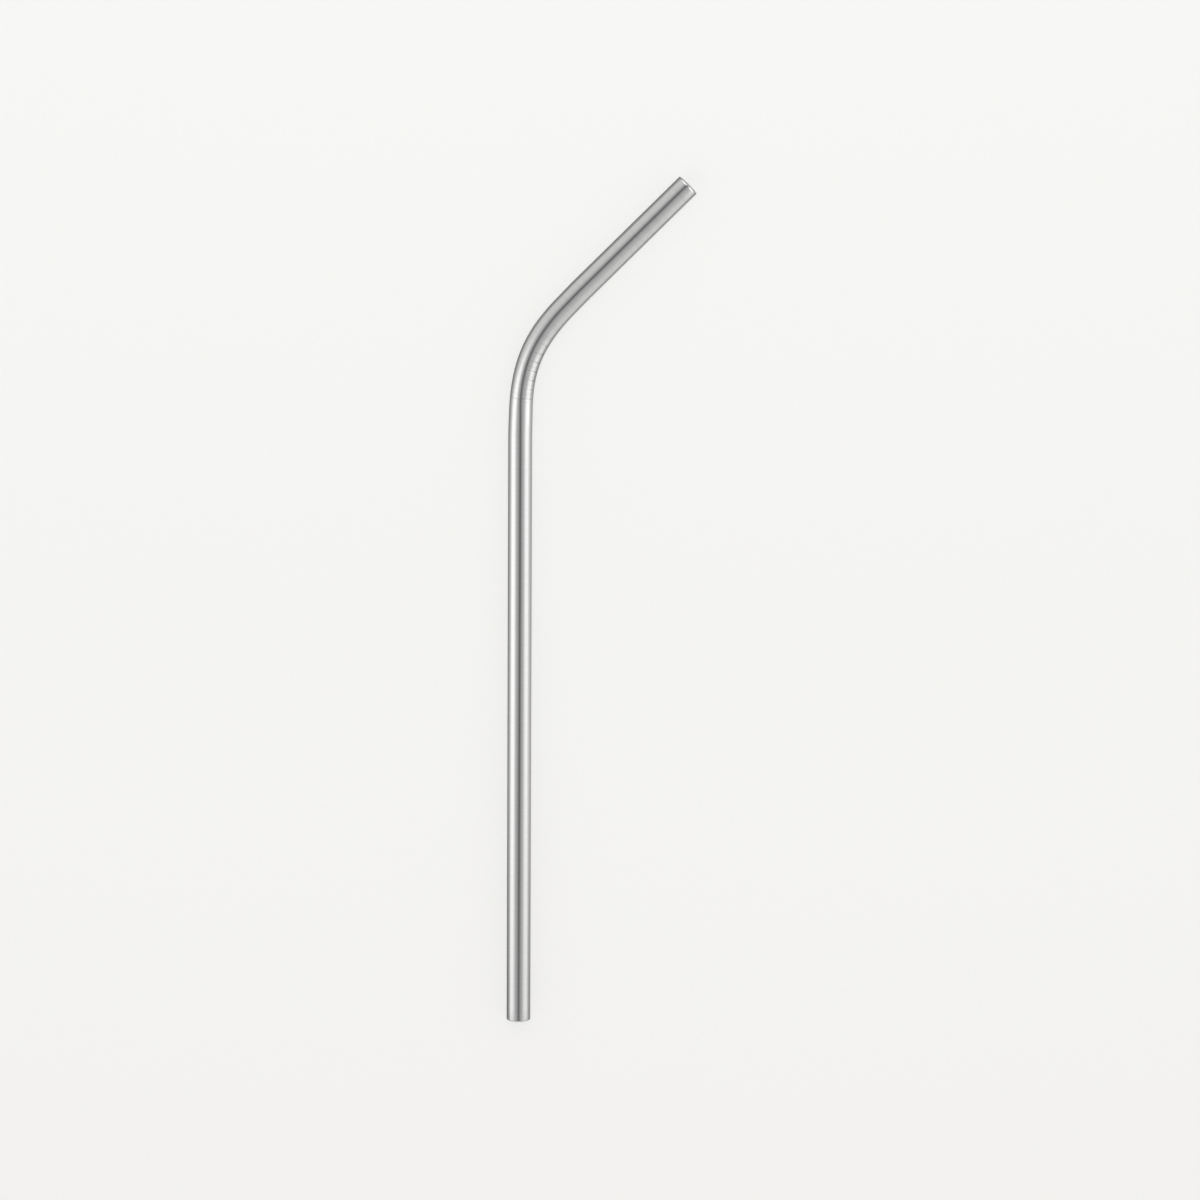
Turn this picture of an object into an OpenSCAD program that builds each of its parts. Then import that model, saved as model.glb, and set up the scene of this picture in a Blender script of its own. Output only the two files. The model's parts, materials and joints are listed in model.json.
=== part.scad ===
// Bent drinking straw: one thin steel tube, turned once near its top.
// It lies flat on its side, with the long leg along Y and the short leg towards +X and +Y.

/* [Tube] */
// Outside diameter of the tube
tube_d = 6; // [5:0.5:12]
// Thickness of the tube's wall
wall = 0.5; // [0.3:0.05:1]

/* [Legs] */
// Straight length of the long leg, from its mouth to the bend
long_leg = 157; // [80:1:260]
// Straight length of the short leg, from the bend to its mouth
short_leg = 43.5; // [20:0.5:90]

/* [Bend] */
// Radius of the bend, to the middle of the tube
bend_radius = 37.5; // [20:0.5:80]
// Angle through which the bend turns the tube
bend_angle = 45; // [20:1:90]

/* [Mouths] */
// Rounding of the outer edge of each mouth
lip_outer_r = 0.35; // [0.1:0.05:0.6]
// Rounding of the inner edge of each mouth
lip_inner_r = 0.1; // [0.05:0.05:0.25]

/* [Bending marks] */
// Distance along the bend from its start to the first line that the bending tool left
mark_start = 3.5; // [1:0.5:8]
// Distance along the bend from one line to the next
mark_pitch = 2.5; // [1.5:0.1:6]
// Least distance along the bend from the last line to the bend's end
mark_margin = 3; // [1:0.5:8]
// Width of each line
mark_w = 0.3; // [0.1:0.05:0.6]
// Depth of the deepest line, on the inner side of the bend
mark_depth = 0.05; // [0.03:0.01:0.1]
// Share of that depth which the last line still has
mark_fade = 0.5; // [0.2:0.1:1]
// Angle round the tube, each way from the inner side, at which a line has run out
mark_reach = 100; // [60:5:150]
// Depth of the first line on the outer side of the bend, because it goes all the way round
ring_depth = 0.03; // [0.02:0.01:0.05]

/* [Hidden] */
$fn = 144;

tube_r = tube_d / 2;
bore_r = tube_r - wall;

// Most of the wall's thickness that each rounding of a mouth may take
lip_outer_share = 0.7;
lip_inner_share = 0.25;
lip_outer = min(lip_outer_r, lip_outer_share * wall);
lip_inner = min(lip_inner_r, lip_inner_share * wall);

// The short leg's mouth, seen from the point on the long leg's axis where the bend starts
tip_x = bend_radius * (1 - cos(bend_angle)) + short_leg * sin(bend_angle);
tip_y = bend_radius * sin(bend_angle) + short_leg * cos(bend_angle);

// Outer limits of the straw on X and Y, seen from the same point
x_low = -tube_r;
x_high = tip_x + (tube_r - lip_outer) * cos(bend_angle) + lip_outer * (1 - sin(bend_angle));
y_low = -long_leg;
y_high = tip_y + (tube_r - lip_outer) * sin(bend_angle) + lip_outer * (1 - cos(bend_angle));

// Lines along the bend
bend_length = bend_radius * bend_angle * PI / 180;
mark_count = floor((bend_length - mark_start - mark_margin) / mark_pitch) + 1;
mark_turn = turn_at(mark_w);
// How far each line's cutter stands out of the tube
cutter_over = 1;

// Angle along the bend, in degrees, at a distance along the middle of the tube
function turn_at(distance) = distance / bend_radius * 180 / PI;

// Depth of a line on the inner side of the bend, from the first line to the last
function depth_at(i) = mark_depth * (1 - (1 - mark_fade) * i / max(1, mark_count - 1));

// Depth on the outer side that makes a line run out at mark_reach: below zero is clear of the tube
function run_out(depth) = -depth * (1 + cos(mark_reach)) / (1 - cos(mark_reach));

// What a rounded outer corner at the origin loses, with the metal at -X and -Y
module corner_waste(r) {
    difference() {
        translate([-r, -r]) square(2 * r);
        translate([-r, -r]) circle(r);
    }
}

// Half section of a straight leg's wall, from the bend at Y = 0 to its rounded mouth
module leg_section(length) {
    difference() {
        translate([bore_r, 0]) square([wall, length]);
        translate([tube_r, length]) corner_waste(lip_outer);
        translate([bore_r, length]) mirror([1, 0]) corner_waste(lip_inner);
    }
}

// Straight leg along +Z, with its mouth at the far end
module leg(length) {
    rotate_extrude() leg_section(length);
}

// A stretch of a shape swept round the bend's centre, from one angle along the bend to another
module along_bend(from, to) {
    translate([bend_radius, 0, 0]) rotate([0, 0, 180 - to])
        rotate_extrude(angle = to - from) translate([bend_radius, 0]) children();
}

// Cutter for a line across the bend: its round floor is set off towards the outer side
module line_cutter(turn, inner_depth, outer_depth) {
    along_bend(turn - mark_turn / 2, turn + mark_turn / 2) difference() {
        circle(tube_r + cutter_over);
        translate([(inner_depth - outer_depth) / 2, 0])
            circle(tube_r - (inner_depth + outer_depth) / 2);
    }
}

// Bend with its row of tool lines, the first of them a full ring
module bend() {
    difference() {
        along_bend(0, bend_angle) difference() {
            circle(tube_r);
            circle(bore_r);
        }
        for (i = [0 : mark_count - 1]) {
            depth = depth_at(i);
            line_cutter(turn_at(mark_start + i * mark_pitch), depth,
                i == 0 ? ring_depth : run_out(depth));
        }
    }
}

// Straw on its side, with the middle of its box above the origin.
// Each leg is given half a turn about its own axis, so that its seam runs on from the bend's.
module straw() {
    color("silver") translate([-(x_low + x_high) / 2, -(y_low + y_high) / 2, tube_r]) {
        rotate([90, 180, 0]) leg(long_leg);
        bend();
        translate([bend_radius, 0, 0]) rotate([0, 0, -bend_angle]) translate([-bend_radius, 0, 0])
            rotate([-90, 180, 0]) leg(short_leg);
    }
}

straw();
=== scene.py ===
# %% [markdown]
# # A bent steel drinking straw
# The object is one thin steel tube: a long straight leg, one gentle bend near the top, a short
# leg, and a rounded mouth at each end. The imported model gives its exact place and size. This
# script dresses it: a finely meshed tube with the bend's small faults, two steel finishes, a
# pale floor, and the lights that draw the long stripes along the metal.

# %% Load the frame
import json
import math

import bmesh
import bpy
from mathutils import Matrix, Vector


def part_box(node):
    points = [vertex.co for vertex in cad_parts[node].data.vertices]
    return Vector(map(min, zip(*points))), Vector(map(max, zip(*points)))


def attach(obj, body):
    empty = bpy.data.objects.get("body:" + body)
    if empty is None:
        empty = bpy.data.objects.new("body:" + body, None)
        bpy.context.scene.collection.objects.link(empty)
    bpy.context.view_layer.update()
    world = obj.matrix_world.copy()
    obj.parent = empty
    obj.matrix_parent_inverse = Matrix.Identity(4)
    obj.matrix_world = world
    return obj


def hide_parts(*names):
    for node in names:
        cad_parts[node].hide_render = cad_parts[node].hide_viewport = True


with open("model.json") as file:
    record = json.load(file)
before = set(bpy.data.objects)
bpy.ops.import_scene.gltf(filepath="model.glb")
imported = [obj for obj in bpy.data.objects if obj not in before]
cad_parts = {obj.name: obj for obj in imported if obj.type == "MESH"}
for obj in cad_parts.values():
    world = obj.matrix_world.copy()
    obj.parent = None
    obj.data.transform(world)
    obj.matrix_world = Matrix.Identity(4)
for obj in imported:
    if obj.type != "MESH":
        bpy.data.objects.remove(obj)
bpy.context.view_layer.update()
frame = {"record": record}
MM = 0.001

# %% [markdown]
# ## Sizes from the frame
# Nothing is measured a second time here. The record has four mounts: the outside and the bore
# of each leg, each with its radius, its straight length, its middle and its axis. From those
# follow the tube's two radii, where the bend starts and ends, its radius and angle, and how
# far the lips of the mouths are rounded.

# %% Tube and legs
mounts = {mount["name"]: mount for mount in frame["record"]["mounts"]}


def mount_size(name, size):
    return mounts[name]["dims"][size] * MM


def mount_end(name, side):
    """The end of a mount's straight length: side is 1 along its axis, or -1 against it."""
    middle = Vector(mounts[name]["pos_m"])
    axis = Vector(mounts[name]["axis"]).normalized()
    return middle + side * axis * mount_size(name, "length_mm") / 2


tube_r = mount_size("long_leg_outside", "r_mm")
bore_r = mount_size("long_leg_bore", "r_mm")
wall = tube_r - bore_r
bend_start = mount_end("long_leg_outside", -1)
bend_end = mount_end("short_leg_outside", -1)
long_axis = -Vector(mounts["long_leg_outside"]["axis"]).normalized()
short_axis = Vector(mounts["short_leg_outside"]["axis"]).normalized()
axis_height = bend_start.z
print(f"tube {2 * tube_r / MM:.2f} mm, wall {wall / MM:.2f} mm")

# %% Bend and mouths
bend_angle = long_axis.angle(short_axis)
bend_radius = (bend_end - bend_start).length / (2 * math.sin(bend_angle / 2))
bend_centre = bend_start + Vector((bend_radius, 0, 0))
bend_length = bend_radius * bend_angle
box_low, box_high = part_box("straw")
long_length = bend_start.y - box_low.y
lip_outer = long_length - mount_size("long_leg_outside", "length_mm")
lip_inner = long_length - mount_size("long_leg_bore", "length_mm")
short_length = mount_size("short_leg_outside", "length_mm") + lip_outer
print(f"bend {bend_radius / MM:.2f} mm, {math.degrees(bend_angle):.1f} degrees")
print(f"legs {long_length / MM:.2f} and {short_length / MM:.2f} mm, "
      f"lips {lip_outer / MM:.2f} and {lip_inner / MM:.2f} mm")

# %% [markdown]
# ## Camera
# The photo looks down on the straw, with the camera tilted a little towards the short leg, so
# the upper mouth shows as a thin ellipse. The view is nearly parallel, which means a long
# lens from far away. The lens follows from how many of the picture's 1200 pixels one
# millimetre covers.

# %% Camera at the photo's viewing angle
PICTURE = 1200
SENSOR_MM = 36
PIXELS_PER_MM = 3.967
CAMERA_DISTANCE = 1.7
CAMERA_TILT = math.radians(10.59)
CAMERA_ROLL = math.radians(0.304)
AIM = Vector((-0.12 * MM, 0.76 * MM, axis_height))

back = Vector((0, math.sin(CAMERA_TILT), math.cos(CAMERA_TILT)))
upward = Vector((0, math.cos(CAMERA_TILT), -math.sin(CAMERA_TILT)))
rightward = upward.cross(back)
turn = Matrix((rightward, upward, back)).transposed() @ Matrix.Rotation(CAMERA_ROLL, 3, "Z")

camera_data = bpy.data.cameras.new("camera")
camera_data.sensor_width = SENSOR_MM
camera_data.lens = SENSOR_MM * PIXELS_PER_MM * CAMERA_DISTANCE / MM / PICTURE
camera = bpy.data.objects.new("camera", camera_data)
camera.matrix_world = Matrix.Translation(AIM + CAMERA_DISTANCE * back) @ turn.to_4x4()
bpy.context.scene.collection.objects.link(camera)
bpy.context.scene.camera = camera
bpy.context.scene.view_settings.view_transform = "Standard"
print(f"lens {camera_data.lens:.1f} mm")

# %% [markdown]
# ## The tube's mesh
# A straw is drawn as a tube and then bent. A ring of edges is drawn along the long leg, spun
# round the bend's centre and drawn on along the short leg. The bore is made the same way from
# a smaller ring. At each mouth a flat ring of faces joins the two walls, so the bore stays
# open from end to end, and a bevel rounds the lip. The rings lie close together in the bend,
# where the tool's lines need them.

# %% Rings and walls
SIDES = 96
LEG_STEP = 3 * MM
BEND_STEP = 0.1 * MM
BORE_STEP = 1.5 * MM


def first_ring(bm, radius):
    """A circle round the long leg's axis at its mouth. Returns its edges."""
    mouth = bend_start - long_axis * long_length
    place = Matrix.Translation(mouth) @ Matrix.Rotation(math.radians(90), 4, "X")
    made = bmesh.ops.create_circle(bm, segments=SIDES, radius=radius, matrix=place)
    return list({edge for vert in made["verts"] for edge in vert.link_edges})


def split_geometry(geometry):
    verts = [item for item in geometry if isinstance(item, bmesh.types.BMVert)]
    ring = set(verts)
    edges = [item for item in geometry
             if isinstance(item, bmesh.types.BMEdge) and ring.issuperset(item.verts)]
    return verts, edges


def draw_leg(bm, edges, axis, length, step):
    """Extrudes a ring of edges along a straight leg. Returns the last ring."""
    count = math.ceil(length / step)
    for _ in range(count):
        made = bmesh.ops.extrude_edge_only(bm, edges=edges)
        verts, edges = split_geometry(made["geom"])
        bmesh.ops.translate(bm, verts=verts, vec=axis * length / count)
    return edges


def turn_bend(bm, edges, step):
    """Spins a ring of edges round the bend's centre. Returns the last ring."""
    verts = list({vert for edge in edges for vert in edge.verts})
    made = bmesh.ops.spin(bm, geom=verts + edges, cent=bend_centre, axis=(0, 0, -1),
                          angle=bend_angle, steps=math.ceil(bend_length / step))
    return split_geometry(made["geom_last"])[1]


def draw_wall(bm, radius, leg_step, bend_step):
    """One wall of the tube from mouth to mouth. Returns its first and last ring."""
    first = first_ring(bm, radius)
    edges = draw_leg(bm, first, long_axis, long_length, leg_step)
    edges = turn_bend(bm, edges, bend_step)
    last = draw_leg(bm, edges, short_axis, short_length, leg_step)
    return first, last


tube = bmesh.new()
bore_rings = draw_wall(tube, bore_r, LEG_STEP, BORE_STEP)
outside_rings = draw_wall(tube, tube_r, LEG_STEP, BEND_STEP)
print(len(tube.verts), "points in the two walls")

# %% Mouths with rounded lips
LIP_SEGMENTS = 6


def round_the_tube(ring, axis):
    """The points of a ring of edges, in their order round the tube's axis."""
    points = {vert for edge in ring for vert in edge.verts}
    middle = sum((vert.co for vert in points), Vector()) / len(points)
    across = axis.cross(Vector((0, 0, 1)))

    def place(vert):
        arm = vert.co - middle
        return (math.atan2(arm.z, arm.dot(across)) + math.pi / SIDES) % (2 * math.pi)

    return sorted(points, key=place)


def join_walls(bm, outside_ring, bore_ring, axis):
    """A flat ring of faces across the wall at one mouth."""
    outside = round_the_tube(outside_ring, axis)
    bore = round_the_tube(bore_ring, axis)
    for number in range(SIDES):
        bm.faces.new((outside[number - 1], outside[number], bore[number], bore[number - 1]))


def round_lip(bm, ring, radius):
    bmesh.ops.bevel(bm, geom=ring, offset=radius, offset_type="OFFSET",
                    segments=LIP_SEGMENTS, profile=0.5, affect="EDGES", material=-1)


for outside_ring, bore_ring, axis in zip(outside_rings, bore_rings, (long_axis, short_axis)):
    join_walls(tube, outside_ring, bore_ring, axis)
bmesh.ops.recalc_face_normals(tube, faces=tube.faces)
for outside_ring, bore_ring in zip(outside_rings, bore_rings):
    round_lip(tube, outside_ring, lip_outer)
    round_lip(tube, bore_ring, lip_inner)
bmesh.ops.recalc_face_normals(tube, faces=tube.faces)
print(len(tube.faces), "faces, closed:", all(edge.is_manifold for edge in tube.edges))

# %% [markdown]
# ## The straw as if it were straight
# The bend's faults and the finish both follow the tube, not the room. So two helpers change a
# point into the place that it had before the tube was bent, and back. There, x is the distance
# across from the tube's axis, with the inner side of the bend below zero, y runs along the
# axis and is zero where the bend starts, and z is the height over the axis.

# %% Straight and bent places
def straighten(point):
    arm = point - bend_centre
    angle = math.atan2(arm.y, -arm.x)
    if angle <= 0:
        return Vector((bend_start.x - point.x, point.y - bend_start.y, point.z - axis_height))
    if angle < bend_angle:
        across = math.hypot(arm.x, arm.y) - bend_radius
        return Vector((across, bend_radius * angle, point.z - axis_height))
    outward = Vector((-short_axis.y, short_axis.x, 0))
    arm = point - bend_end
    return Vector((arm.dot(outward), bend_length + arm.dot(short_axis), point.z - axis_height))


def bend_back(place):
    across, along, height = place
    if along <= 0:
        return Vector((bend_start.x - across, bend_start.y + along, axis_height + height))
    if along < bend_length:
        angle = along / bend_radius
        arm = Vector((-math.cos(angle), math.sin(angle), 0)) * (bend_radius + across)
        return bend_centre + arm + Vector((0, 0, height))
    outward = Vector((-short_axis.y, short_axis.x, 0))
    return (bend_end + across * outward + (along - bend_length) * short_axis
            + Vector((0, 0, height)))


error = max((bend_back(straighten(vert.co)) - vert.co).length for vert in tube.verts)
print(f"there and back, the points move {error / MM:.6f} mm at most")

# %% [markdown]
# ## Faults of the bend
# Bending squeezes a tube: its section narrows a little in the plane of the bend. Nor is a
# real bend a true arc: this one starts and ends gently and turns more sharply in its middle,
# so that its middle line strays from the arc by up to a sixth of a millimetre. The bending
# tool also leaves a row of fine lines across the inner side, at every two and a half
# millimetres, and the first of them runs all the way round. They are pressed into the mesh
# here as smooth shallow grooves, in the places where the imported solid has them. Each groove
# is deepest on the inner side and runs out round the tube. The tool bit most at the third
# line, and less and less towards the short leg.

# %% Narrowing and sway
NARROWING = 0.04
NARROWEST = 9 * MM
NARROWING_REACH = 15 * MM
SWAY = 0.115 * MM
SWAY_INWARD = 0.05 * MM
SWAY_MIDDLE = 14.5 * MM
SWAY_PERIOD = 26 * MM
SWAY_FADE = 8 * MM


def narrowing_at(along):
    """How much narrower the section is, as a share of its width."""
    off = abs(along - NARROWEST) / NARROWING_REACH
    return NARROWING * math.cos(math.pi / 2 * off) ** 2 if off < 1 else 0


def sway_at(along):
    """How far the middle line is moved towards the outer side of the bend."""
    off = abs(along - SWAY_MIDDLE)
    past = min(max((off - SWAY_PERIOD / 2) / SWAY_FADE, 0), 1)
    wave = SWAY * math.cos(2 * math.pi * min(off, SWAY_PERIOD / 2) / SWAY_PERIOD) - SWAY_INWARD
    return wave * (1 - past * past * (3 - 2 * past))


print("sway at the bend's start, middle and end:",
      [round(sway_at(along) / MM, 3) for along in (0, SWAY_MIDDLE, bend_length)], "mm")

# %% Tool lines
LINE_FIRST = 3.5 * MM
LINE_PITCH = 2.5 * MM
LINE_BITES = (0.45, 0.6, 1, 0.9, 0.85, 0.75, 0.6, 0.5, 0.35, 0.25)
LINE_WIDTH = 0.36 * MM
LINE_DEPTH = 0.05 * MM
RING_DEPTH = 0.02 * MM
LINE_REACH = math.radians(100)


def line_depth(number, turn):
    """Depth of one line at an angle round the tube, counted from the bend's inner side."""
    inner = LINE_DEPTH
    outer = -inner * (1 + math.cos(LINE_REACH)) / (1 - math.cos(LINE_REACH))
    if number == 0:
        outer = RING_DEPTH
    depth = (inner + outer) / 2 + (inner - outer) / 2 * math.cos(turn)
    return max(0, depth) * LINE_BITES[number]


def line_at(across, along, height):
    """Depth of the tool lines at a place on the straight tube."""
    number = round((along - LINE_FIRST) / LINE_PITCH)
    if not 0 <= number < len(LINE_BITES):
        return 0
    off = abs(along - LINE_FIRST - number * LINE_PITCH) / (LINE_WIDTH / 2)
    if off >= 1:
        return 0
    turn = math.atan2(height, -across)
    return line_depth(number, turn) * (1 + math.cos(math.pi * off)) / 2


# %% Press the faults into the mesh
place_layer = tube.verts.layers.float_vector.new("along_tube")
line_layer = tube.verts.layers.float.new("tool_line")
for vert in tube.verts:
    place = straighten(vert.co)
    vert[place_layer] = place
    across, along, height = place
    radius = math.hypot(across, height)
    depth = line_at(across, along, height) if radius > tube_r - wall / 2 else 0
    vert[line_layer] = depth / LINE_DEPTH
    across *= (1 - narrowing_at(along)) * (1 - depth / radius)
    vert.co = bend_back((across + sway_at(along), along, height * (1 - depth / radius)))
print("deepest line:", round(max(vert[line_layer] for vert in tube.verts) * LINE_DEPTH / MM, 3), "mm")

# %% The straw as an object
def new_piece(name, bm):
    """An object at the origin that takes its mesh from a bmesh."""
    mesh = bpy.data.meshes.new(name)
    bm.to_mesh(mesh)
    bm.free()
    piece = bpy.data.objects.new(name, mesh)
    bpy.context.scene.collection.objects.link(piece)
    return piece


straw = new_piece("straw_tube", tube)
straw.data.shade_smooth()

# %% [markdown]
# ## Steel
# Two finishes. The outside and the lips are polished, so they mirror what stands round them.
# Very fine lines from the polishing belt run round the tube and soften that mirror. From the
# bend on, the rollers of the bending tool left faint cross lines as well, stronger on the
# bend's inner side, and the tool lines are duller than the rest. The bore is as the drawing
# die left it: rougher, with streaks along the tube.

# %% Node helpers
def new_material(name):
    material = bpy.data.materials.new(name)
    material.use_nodes = True
    return material, material.node_tree.nodes["Principled BSDF"]


def add_node(tree, kind, **settings):
    node = tree.nodes.new(kind)
    for name, value in settings.items():
        setattr(node, name, value)
    return node


def tube_noise(tree, stretch, detail):
    """Noise on the straight tube's places, with so many features in a metre each way."""
    place = add_node(tree, "ShaderNodeAttribute", attribute_name="along_tube")
    scaled = add_node(tree, "ShaderNodeVectorMath", operation="MULTIPLY")
    scaled.inputs[1].default_value = stretch
    tree.links.new(place.outputs["Vector"], scaled.inputs[0])
    noise = add_node(tree, "ShaderNodeTexNoise")
    noise.inputs["Scale"].default_value = 1
    noise.inputs["Detail"].default_value = detail
    tree.links.new(scaled.outputs["Vector"], noise.inputs["Vector"])
    return noise.outputs["Fac"]


def map_range(tree, value, low, high, to_low, to_high, smooth=False):
    node = add_node(tree, "ShaderNodeMapRange",
                    interpolation_type="SMOOTHSTEP" if smooth else "LINEAR")
    for name, number in (("From Min", low), ("From Max", high), ("To Min", to_low),
                         ("To Max", to_high)):
        node.inputs[name].default_value = number
    tree.links.new(value, node.inputs["Value"])
    return node.outputs["Result"]


def math_node(tree, operation, first, second):
    node = add_node(tree, "ShaderNodeMath", operation=operation)
    for socket, value in zip(node.inputs, (first, second)):
        if isinstance(value, (int, float)):
            socket.default_value = value
        else:
            tree.links.new(value, socket)
    return node.outputs["Value"]


def mix_colour(tree, factor, first, second):
    node = add_node(tree, "ShaderNodeMix", data_type="RGBA")
    tree.links.new(factor, node.inputs["Factor"])
    for name, value in (("A", first), ("B", second)):
        socket = next(s for s in node.inputs if s.name == name and s.type == "RGBA")
        if isinstance(value, tuple):
            socket.default_value = (*value, 1)
        else:
            tree.links.new(value, socket)
    return next(s for s in node.outputs if s.type == "RGBA")


def grey_ramp(tree, value, levels):
    """Greys at chosen values, straight between them. The first and last value bound the ramp."""
    low, high = levels[0][0], levels[-1][0]
    ramp = add_node(tree, "ShaderNodeValToRGB")
    tree.links.new(map_range(tree, value, low, high, 0, 1), ramp.inputs["Fac"])
    stops = ramp.color_ramp.elements
    stops.remove(stops[1])
    stops[0].color = (levels[0][1],) * 3 + (1,)
    for at, level in levels[1:]:
        stops.new((at - low) / (high - low)).color = (level, level, level, 1)
    return ramp.outputs["Color"]


def part_of_tube(tree, name, low, high):
    """From 0 at the first place to 1 at the second, in mm, across or along the tube."""
    place = add_node(tree, "ShaderNodeAttribute", attribute_name="along_tube")
    split = add_node(tree, "ShaderNodeSeparateXYZ")
    tree.links.new(place.outputs["Vector"], split.inputs[0])
    axis = {"across": "X", "along": "Y"}[name]
    return map_range(tree, split.outputs[axis], low * MM, high * MM, 0, 1, smooth=True)


# %% Cross lines of the rollers
ROLLER_STRETCH = (90, 1300, 90)
ROLLER_DETAIL = 3
ROLLER_NOISE = (0.5, 0.75)
ROLLER_START = (0, 5)
ROLLER_INNER = (0.3, -1.5)
ROLLER_RUNOUT = 8
ROLLER_FAINT = 0.12
ROLLER_STRONG = 0.2


def roller_lines(tree):
    """How strongly the rollers' cross lines mark a place: 0 on the long leg."""
    lines = tube_noise(tree, ROLLER_STRETCH, ROLLER_DETAIL)
    lines = map_range(tree, lines, *ROLLER_NOISE, 0, 1)
    bent = part_of_tube(tree, "along", *ROLLER_START)
    inner = part_of_tube(tree, "across", *ROLLER_INNER)
    bend_end_mm = bend_length / MM
    before_end = part_of_tube(tree, "along", bend_end_mm, bend_end_mm - ROLLER_RUNOUT)
    strength = math_node(tree, "MULTIPLY", inner, before_end)
    strength = map_range(tree, strength, 0, 1, ROLLER_FAINT, ROLLER_STRONG)
    return math_node(tree, "MULTIPLY", lines, math_node(tree, "MULTIPLY", bent, strength))


# %% Polished steel
STEEL = (0.72, 0.72, 0.715)
STEEL_DULL = (0.66, 0.66, 0.655)
LINE_COLOUR = (0.36, 0.355, 0.345)
BELT_STRETCH = (250, 3500, 250)
BELT_DETAIL = 2
BELT_SHARE = 0.4
BELT_RELIEF = 0.002 * MM
BELT_RELIEF_STRENGTH = 0.4
PATCH_STRETCH = (120, 60, 120)
PATCH_DETAIL = 3
POLISH = 0.14
POLISH_SPREAD = 0.02
LINE_SHARE = 0.9
LINE_FULL_AT = 0.7
LINE_ROUGHNESS = 0.15


def polished_steel():
    material, shader = new_material("polished steel")
    tree = material.node_tree
    belt_lines = tube_noise(tree, BELT_STRETCH, BELT_DETAIL)
    patches = tube_noise(tree, PATCH_STRETCH, PATCH_DETAIL)
    rollers = roller_lines(tree)
    line = add_node(tree, "ShaderNodeAttribute", attribute_name="tool_line").outputs["Fac"]
    dull = map_range(tree, belt_lines, 0.35, 0.7, 0, BELT_SHARE)
    metal = mix_colour(tree, dull, STEEL, STEEL_DULL)
    metal = mix_colour(tree, rollers, metal, LINE_COLOUR)
    pressed = map_range(tree, line, 0, LINE_FULL_AT, 0, LINE_SHARE)
    metal = mix_colour(tree, pressed, metal, LINE_COLOUR)
    tree.links.new(metal, shader.inputs["Base Color"])
    rough = map_range(tree, patches, 0.3, 0.7, POLISH - POLISH_SPREAD / 2,
                      POLISH + POLISH_SPREAD / 2)
    rough = math_node(tree, "ADD", rough, math_node(tree, "MULTIPLY", line, LINE_ROUGHNESS))
    tree.links.new(rough, shader.inputs["Roughness"])
    shader.inputs["Metallic"].default_value = 1
    bump = add_node(tree, "ShaderNodeBump")
    bump.inputs["Strength"].default_value = BELT_RELIEF_STRENGTH
    bump.inputs["Distance"].default_value = BELT_RELIEF
    tree.links.new(belt_lines, bump.inputs["Height"])
    tree.links.new(bump.outputs["Normal"], shader.inputs["Normal"])
    return material


# %% Drawn steel of the bore
BORE_STEEL = (0.7, 0.7, 0.695)
BORE_STREAK = (0.6, 0.6, 0.59)
STREAK_STRETCH = (2500, 25, 2500)
STREAK_DETAIL = 2
BORE_ROUGHNESS = (0.5, 0.62)


def drawn_steel():
    material, shader = new_material("drawn steel")
    tree = material.node_tree
    streaks = tube_noise(tree, STREAK_STRETCH, STREAK_DETAIL)
    metal = mix_colour(tree, map_range(tree, streaks, 0.35, 0.65, 0, 1), BORE_STEEL, BORE_STREAK)
    tree.links.new(metal, shader.inputs["Base Color"])
    rough = map_range(tree, streaks, 0.3, 0.7, *BORE_ROUGHNESS)
    tree.links.new(rough, shader.inputs["Roughness"])
    shader.inputs["Metallic"].default_value = 1
    return material


# %% Give the straw its steel
straw.data.materials.append(polished_steel())
straw.data.materials.append(drawn_steel())
places = [Vector(item.vector) for item in straw.data.attributes["along_tube"].data]
bore_edge = bore_r + lip_inner / 2
for face in straw.data.polygons:
    place = places[face.vertices[0]]
    face.material_index = int(math.hypot(place.x, place.z) < bore_edge)
print(sum(face.material_index for face in straw.data.polygons), "faces belong to the bore")
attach(straw, "root")
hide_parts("straw")

# %% [markdown]
# ## Floor
# A plain pale sheet, far larger than the picture, so that low views meet its edge only at the
# horizon. Its own colour makes the background, and that colour is painted a little paler towards the
# top of the picture: painted light, a gradient that stands in for light falling off across the floor.
# A share of that colour is shown to the camera and to the metal as it is, which leaves the
# straw's shadow on the sheet but keeps it faint.

# %% Pale floor
FLOOR_RADIUS = 12
FLOOR_SIDES = 64
# The floor's two colours: the paler one, towards the top of the picture, is painted light.
FLOOR_PAINTED_DIMMER = (0.9, 0.893, 0.877)
FLOOR_PAINTED_PALER = (0.93, 0.93, 0.912)
FLOOR_FADE = 0.15
FLOOR_PLAIN_SHARE = 0.6


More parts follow.
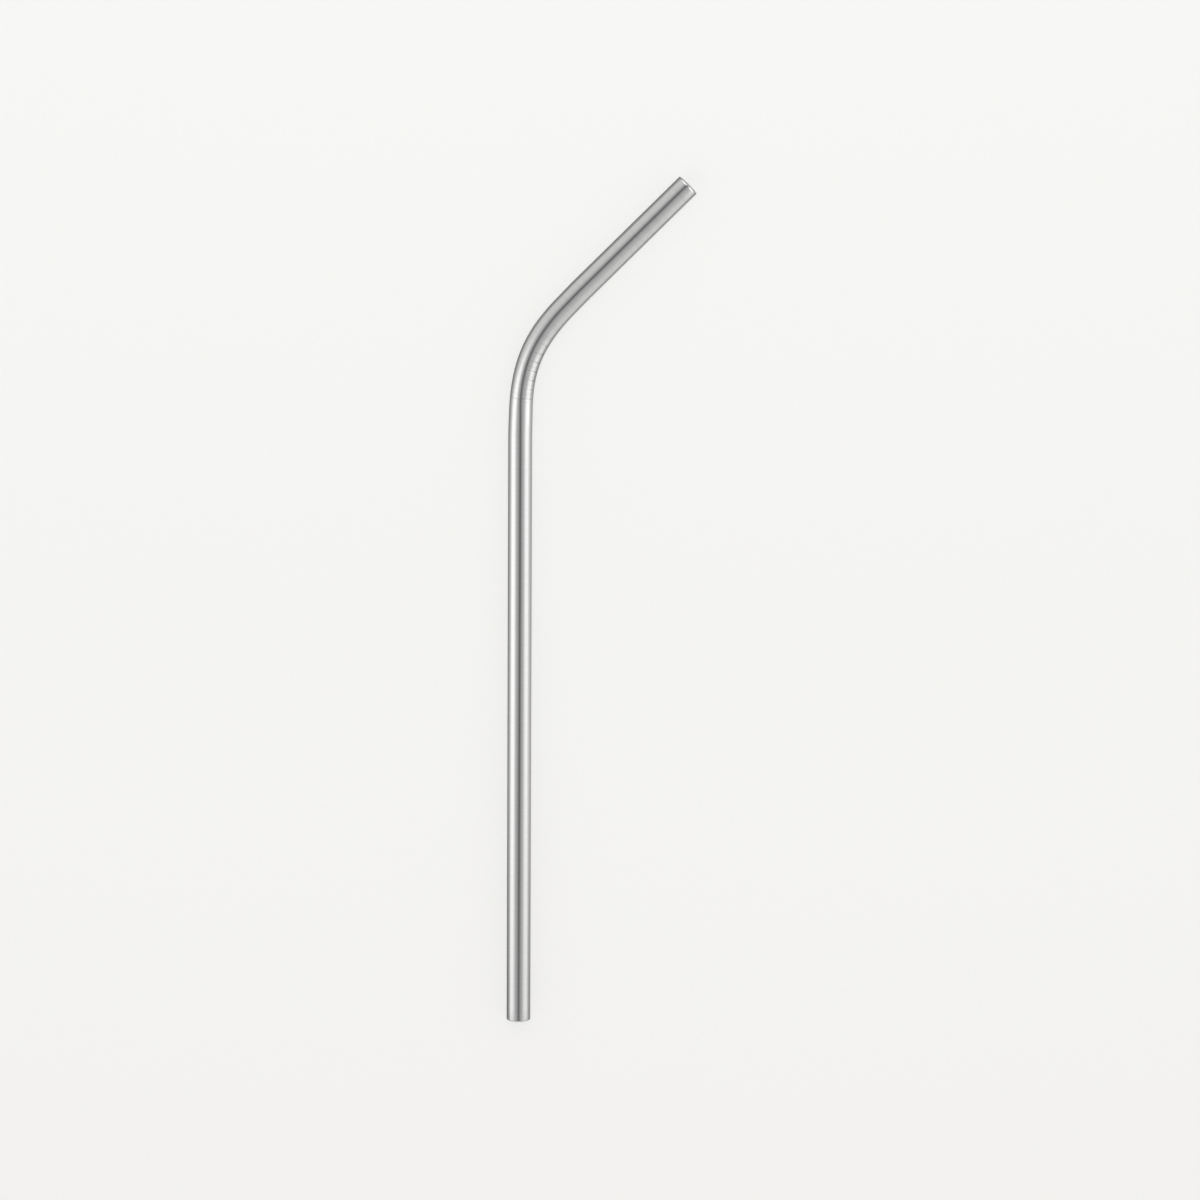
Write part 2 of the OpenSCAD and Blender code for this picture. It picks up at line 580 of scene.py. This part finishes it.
def pale_paper():
    material, shader = new_material("pale paper")
    tree = material.node_tree
    split = add_node(tree, "ShaderNodeSeparateXYZ")
    tree.links.new(add_node(tree, "ShaderNodeTexCoord").outputs["Object"], split.inputs[0])
    # Painted light: the colour grows paler along Y, as if the light fell off across the floor.
    fade = map_range(tree, split.outputs["Y"], -FLOOR_FADE, FLOOR_FADE, 0, 1)
    colour = mix_colour(tree, fade, FLOOR_PAINTED_DIMMER, FLOOR_PAINTED_PALER)
    tree.links.new(colour, shader.inputs["Base Color"])
    shader.inputs["Roughness"].default_value = 1
    shader.inputs["Specular IOR Level"].default_value = 0
    plain = add_node(tree, "ShaderNodeEmission")
    tree.links.new(colour, plain.inputs["Color"])
    path = add_node(tree, "ShaderNodeLightPath")
    seen = math_node(tree, "MAXIMUM", path.outputs["Is Camera Ray"], path.outputs["Is Glossy Ray"])
    seen = math_node(tree, "MAXIMUM", seen, path.outputs["Is Transmission Ray"])
    mix = add_node(tree, "ShaderNodeMixShader")
    tree.links.new(math_node(tree, "MULTIPLY", seen, FLOOR_PLAIN_SHARE), mix.inputs["Fac"])
    tree.links.new(shader.outputs["BSDF"], mix.inputs[1])
    tree.links.new(plain.outputs["Emission"], mix.inputs[2])
    tree.links.new(mix.outputs["Shader"], tree.nodes["Material Output"].inputs["Surface"])
    return material


sheet = bmesh.new()
bmesh.ops.create_circle(sheet, cap_ends=True, segments=FLOOR_SIDES, radius=FLOOR_RADIUS)
floor = new_piece("floor", sheet)
floor.data.materials.append(pale_paper())

# %% [markdown]
# ## The tent
# Polished steel shows nothing but what stands round it. The world is a light tent: pale near
# the horizon and dimmer overhead. It is graded by height alone, so it looks the same from
# every side.

# %% A graded world
TENT_LEVELS = ((0, 0.5), (12, 0.51), (22, 0.55), (34, 0.6), (44, 0.65), (54, 0.72), (65, 0.78),
               (80, 0.75), (90, 0.68))


def light_tent():
    world = bpy.data.worlds.new("light tent")
    world.use_nodes = True
    tree = world.node_tree
    place = add_node(tree, "ShaderNodeTexCoord")
    split = add_node(tree, "ShaderNodeSeparateXYZ")
    tree.links.new(place.outputs["Generated"], split.inputs[0])
    angle = math_node(tree, "ARCCOSINE", split.outputs["Z"], 0)
    degrees = math_node(tree, "DEGREES", angle, 0)
    tree.links.new(grey_ramp(tree, degrees, TENT_LEVELS), tree.nodes["Background"].inputs["Color"])
    return world


bpy.context.scene.world = light_tent()

# %% [markdown]
# ## Cards
# The stripes on the metal are the reflections of cards. Each card is a mesh with a light of
# its own that fades out at its edges through a transparent mix, so no hard edge is mirrored.
# Only the metal sees the cards: they are hidden from the camera, light no floor and cast no
# shadow.

# %% Card helpers
def card_material(name):
    """A glow mixed with nothing. Returns the material, the glow and the mix's cover socket."""
    material, shader = new_material(name)
    tree = material.node_tree
    tree.nodes.remove(shader)
    glow = add_node(tree, "ShaderNodeEmission")
    mix = add_node(tree, "ShaderNodeMixShader")
    tree.links.new(add_node(tree, "ShaderNodeBsdfTransparent").outputs["BSDF"], mix.inputs[1])
    tree.links.new(glow.outputs["Emission"], mix.inputs[2])
    tree.links.new(mix.outputs["Shader"], tree.nodes["Material Output"].inputs["Surface"])
    return material, glow, mix.inputs["Fac"]


def only_for_reflections(card):
    card.visible_camera = False
    card.visible_diffuse = False
    card.visible_shadow = False


# %% [markdown]
# ## Side cards
# A tall white card on each side draws the two bright stripes. The cards are only as long as
# the long leg and fade towards their ends and tops, so the short leg, which looks past them,
# stays greyer. The left card's lower edge climbs towards the bend, which keeps the bright
# stripe on the bend's outer side as narrow as it is on the real straw.

# %% Soft white cards
CARD_AWAY = 0.38
CARD_TO_FOOT = 0.03
CARD_HALF_LENGTH = 0.34
CARD_HEIGHT = 0.56
CARD_FULL_LENGTH = 0.04
CARD_FULL_HEIGHT = 0.18
CARD_FOOT_HEIGHT = 0.08
CARD_FOOT_COVER = 0.7
LEFT_CARD_LEVEL = 1.39
RIGHT_CARD_LEVEL = 1.27
CLIMB_LENGTH = 0.1
LEFT_CARD_CLIMB = 0.9


def side_card_light(level, climb):
    material, glow, cover = card_material("side card")
    tree = material.node_tree
    glow.inputs["Strength"].default_value = level
    split = add_node(tree, "ShaderNodeSeparateXYZ")
    tree.links.new(add_node(tree, "ShaderNodeTexCoord").outputs["Object"], split.inputs[0])
    off_middle = math_node(tree, "ABSOLUTE",
                           math_node(tree, "ADD", split.outputs["Y"], CARD_TO_FOOT), 0)
    height = split.outputs["Z"]
    ends = map_range(tree, off_middle, CARD_FULL_LENGTH, CARD_HALF_LENGTH, 1, 0, smooth=True)
    top = map_range(tree, height, CARD_FULL_HEIGHT, CARD_HEIGHT, 1, 0, smooth=True)
    ahead = math_node(tree, "MAXIMUM", math_node(tree, "MULTIPLY", split.outputs["Y"], climb), 0)
    foot_top = math_node(tree, "ADD", ahead, CARD_FOOT_HEIGHT)
    lowest = map_range(tree, ahead, 0, CLIMB_LENGTH, CARD_FOOT_COVER, 0)
    up = map_range(tree, math_node(tree, "DIVIDE", height, foot_top), 0, 1, 0, 1, smooth=True)
    foot = math_node(tree, "ADD", lowest,
                     math_node(tree, "MULTIPLY", up, math_node(tree, "SUBTRACT", 1, lowest)))
    part = math_node(tree, "MULTIPLY", ends, math_node(tree, "MULTIPLY", top, foot))
    tree.links.new(part, cover)
    return material


def side_card(name, side, level, climb):
    bm = bmesh.new()
    upright = (Matrix.Translation((side * CARD_AWAY, -CARD_TO_FOOT, CARD_HEIGHT / 2))
               @ Matrix.Rotation(math.radians(90), 4, "Y")
               @ Matrix.Diagonal((CARD_HEIGHT / 2, CARD_HALF_LENGTH, 1, 1)))
    bmesh.ops.create_grid(bm, x_segments=1, y_segments=1, size=1, matrix=upright)
    card = new_piece(name, bm)
    card.data.materials.append(side_card_light(level, climb))
    only_for_reflections(card)


side_card("left_card", -1, LEFT_CARD_LEVEL, LEFT_CARD_CLIMB)
side_card("right_card", 1, RIGHT_CARD_LEVEL, 0)

# %% [markdown]
# ## Strips that follow the straw
# Two more things are needed. The thin dark line along the middle of the tube is a dark strip
# overhead, and it stays in the middle only if the strip bends as the straw does. And on a white floor
# the lower flanks of a polished tube mirror the floor, so that its outline melts into it. So grey
# strips lie along both sides, as a photographer lays grey flags, to get a darker edge: their grey is
# painted shade, a painted reflection of the shade beside the tube. All three strips are drawn along
# the straw's own path, with the tube's helpers.

# %% Strip helper
STRIP_OVERHANG = 30 * MM
STRIP_STEP = 6 * MM
STRIP_BEND_STEP = 1.5 * MM


def strip_along_straw(stations):
    """A flat strip with its edges at these distances across from the tube's axis, in mm.

    Its points keep their places on the straight tube, in millimetres, as "strip_place".
    """
    bm = bmesh.new()
    mouth = bend_start - long_axis * (long_length + STRIP_OVERHANG)
    points = [bm.verts.new((mouth.x - mm * MM, mouth.y, 0)) for mm in stations]
    edges = [bm.edges.new(pair) for pair in zip(points, points[1:])]
    edges = draw_leg(bm, edges, long_axis, long_length + STRIP_OVERHANG, STRIP_STEP)
    edges = turn_bend(bm, edges, STRIP_BEND_STEP)
    draw_leg(bm, edges, short_axis, short_length + STRIP_OVERHANG, STRIP_STEP)
    layer = bm.verts.layers.float_vector.new("strip_place")
    for vert in bm.verts:
        vert[layer] = straighten(vert.co) / MM
    return bm


def strip_places(tree):
    """Distance across from the axis, and distance along it, both in millimetres."""
    place = add_node(tree, "ShaderNodeAttribute", attribute_name="strip_place")
    split = add_node(tree, "ShaderNodeSeparateXYZ")
    tree.links.new(place.outputs["Vector"], split.inputs[0])
    return math_node(tree, "ABSOLUTE", split.outputs["X"], 0), split.outputs["Y"]


# %% Dark strip overhead
DARK_HEIGHT = 60 * MM
DARK_STATIONS = (0.9, 0.6, 0.3, 0, -0.3, -0.6, -0.9)
DARK_COVER = ((0, 1), (0.1, 1), (0.26, 0.46), (0.34, 0.34), (0.52, 0.21), (0.65, 0.12),
              (0.78, 0.05), (0.9, 0))
DARK_LEVEL = 0.13
DARK_LEVEL_AT_FOOT = 0.19
DARK_FOOT_WIDTH = 1.4
DARK_FOOT_LENGTH = 90
DARK_BEND_WIDTH = 0.88
DARK_BEND_LENGTH = 10
DARK_ASIDE_LONG = -0.03
DARK_ASIDE_SHORT = 0.2
DARK_CHANGE = 3 * MM


def seen_in_straw(aside, along, height):
    """Where a point at this height has to be for the camera to see it in the straw.

    It is seen at this distance along the tube, and this far from the middle of the tube's
    outline, which isn't the tube's top where the camera looks at it from one side.
    """
    middle = bend_back((sway_at(along), along, 0))
    view = camera.matrix_world.translation - middle
    outward = (bend_back((MM, along, 0)) - bend_back((0, along, 0))).normalized()
    lean = math.atan2(view.dot(outward), view.z) + math.asin(aside / tube_r)
    point = middle + tube_r * (math.sin(lean) * outward + Vector((0, 0, math.cos(lean))))
    ray = (-view).normalized().reflect((point - middle).normalized())
    return point + ray * (height - point.z) / ray.z


def dark_strip_light():
    material, glow, cover = card_material("dark strip")
    tree = material.node_tree
    across, along = strip_places(tree)
    foot = -long_length / MM
    foot_end = foot + DARK_FOOT_LENGTH
    level = map_range(tree, along, foot, foot_end, DARK_LEVEL_AT_FOOT, DARK_LEVEL)
    tree.links.new(level, glow.inputs["Strength"])
    width = math_node(tree, "MULTIPLY",
                      map_range(tree, along, foot, foot_end, DARK_FOOT_WIDTH, 1),
                      map_range(tree, along, -DARK_BEND_LENGTH, 0, 1, DARK_BEND_WIDTH))
    aside = math_node(tree, "DIVIDE", across, width)
    tree.links.new(grey_ramp(tree, aside, DARK_COVER), cover)
    return material


overhead = strip_along_straw(DARK_STATIONS)
for vert in overhead.verts:
    across, along, height = straighten(vert.co)
    share = min(max((along / DARK_CHANGE + 1) / 2, 0), 1)
    aside = (DARK_ASIDE_LONG + share * (DARK_ASIDE_SHORT - DARK_ASIDE_LONG)) * MM
    vert.co = seen_in_straw(across + aside, along, DARK_HEIGHT)
dark_strip = new_piece("dark_strip", overhead)
dark_strip.data.materials.append(dark_strip_light())
only_for_reflections(dark_strip)

# %% Grey flags beside the tube
FLAG_HEIGHT = 0.2 * MM
# The flags' greys are painted shade: darkest next to the tube and paler outward, as the floor's shade
# beside the tube would be.
OUTER_FLAG_LEVELS = ((3.2, 0.17), (5.5, 0.28), (10, 0.48), (14, 0.56), (23, 0.7), (30, 0.78),
                     (50, 0.9))
INNER_FLAG_LEVELS = ((3.2, 0.35), (5.5, 0.47), (10, 0.6), (14, 0.67), (23, 0.79), (30, 0.84))
OUTER_FLAG_SHORT = 0.92
INNER_FLAG_SHORT = 0.76
FLAG_CHANGE_LENGTH = 10
FLAG_FOOT = 0.72
FLAG_FOOT_LENGTH = 60


def flag_painted_shade(levels, short_share):
    """A grey that depends on the distance across, darker at the foot and the short leg: painted shade
    that only the metal sees.
    """
    material, glow, cover = card_material("painted shade flag")
    tree = material.node_tree
    cover.default_value = 1
    across, along = strip_places(tree)
    tree.links.new(grey_ramp(tree, across, levels), glow.inputs["Color"])
    foot = -long_length / MM
    foot_share = map_range(tree, along, foot, foot + FLAG_FOOT_LENGTH, FLAG_FOOT, 1)
    share = map_range(tree, along, 0, FLAG_CHANGE_LENGTH, 1, short_share)
    tree.links.new(math_node(tree, "MULTIPLY", foot_share, share), glow.inputs["Strength"])
    return material


def grey_flag(name, side, levels, short_share):
    """One flag on the floor: side is 1 for the outer side of the bend, -1 for the inner."""
    bm = strip_along_straw([side * mm for mm, level in levels])
    bmesh.ops.translate(bm, verts=bm.verts, vec=(0, 0, FLAG_HEIGHT))
    flag = new_piece(name, bm)
    flag.data.materials.append(flag_painted_shade(levels, short_share))
    only_for_reflections(flag)


grey_flag("outer_flag", 1, OUTER_FLAG_LEVELS, OUTER_FLAG_SHORT)
grey_flag("inner_flag", -1, INNER_FLAG_LEVELS, INNER_FLAG_SHORT)

# %% [markdown]
# ## Cards at the mouths
# The upper mouth faces the camera a little. A screen of three cards stands beyond it: two
# white ones light the lip and the first millimetre of the bore, and a dark one between them
# draws the dark spot where the lip crosses the tube's dark line. The lower mouth faces away,
# and a grey card before it keeps its lip as grey as the photo has it.

# %% Cards beyond both mouths
SCREEN_AWAY = 0.12
SCREEN_SPREAD = math.radians(48)
SCREEN_WHITE_HALF = 0.08
SCREEN_DARK_HALF = 0.025
SCREEN_HEIGHT = 0.2
SCREEN_WHITE = 1.7
SCREEN_DARK = 0.05
LOWER_CARD_HALF = 0.1
LOWER_CARD_HEIGHT = 0.25
LOWER_CARD_LEVEL = 0.4


def mouth_card(name, mouth, outward, half_width, height, level):
    """An upright card that faces a mouth."""
    bm = bmesh.new()
    across = Vector((-outward.y, outward.x, 0))
    middle = mouth + outward * SCREEN_AWAY
    axes = Matrix((across, Vector((0, 0, 1)), -outward)).transposed().to_4x4()
    place = (Matrix.Translation((middle.x, middle.y, height / 2)) @ axes
             @ Matrix.Diagonal((half_width, height / 2, 1, 1)))
    bmesh.ops.create_grid(bm, x_segments=1, y_segments=1, size=1, matrix=place)
    card = new_piece(name, bm)
    material, glow, cover = card_material(name)
    glow.inputs["Strength"].default_value = level
    cover.default_value = 1
    card.data.materials.append(material)
    only_for_reflections(card)


upper_mouth = bend_end + short_axis * short_length
lower_mouth = bend_start - long_axis * long_length
for name, side, half_width, level in (("upper_left_card", 1, SCREEN_WHITE_HALF, SCREEN_WHITE),
                                      ("upper_middle_card", 0, SCREEN_DARK_HALF, SCREEN_DARK),
                                      ("upper_right_card", -1, SCREEN_WHITE_HALF, SCREEN_WHITE)):
    outward = Matrix.Rotation(side * SCREEN_SPREAD, 3, "Z") @ short_axis
    mouth_card(name, upper_mouth, outward, half_width, SCREEN_HEIGHT, level)
mouth_card("lower_card", lower_mouth, -long_axis, LOWER_CARD_HALF, LOWER_CARD_HEIGHT,
           LOWER_CARD_LEVEL)

# %% [markdown]
# ## Lamp
# One soft lamp lights the floor. It stands right round the camera, where a ring light does,
# so the straw hides most of the shadow that it casts, and what stays is the soft shadow of
# the tent's own light, close round the tube.

# %% A soft lamp at the camera
LAMP_DISTANCE = 2
LAMP_SIZE = 0.7
LAMP_WATTS = 14


def soft_lamp():
    data = bpy.data.lights.new("soft_lamp", "AREA")
    data.shape = "DISK"
    data.size = LAMP_SIZE
    data.energy = LAMP_WATTS
    lamp = bpy.data.objects.new("soft_lamp", data)
    lamp.matrix_world = (Matrix.Translation(AIM + LAMP_DISTANCE * back)
                         @ back.to_track_quat("Z", "Y").to_matrix().to_4x4())
    bpy.context.scene.collection.objects.link(lamp)
    lamp.visible_camera = False
    lamp.visible_glossy = False


soft_lamp()
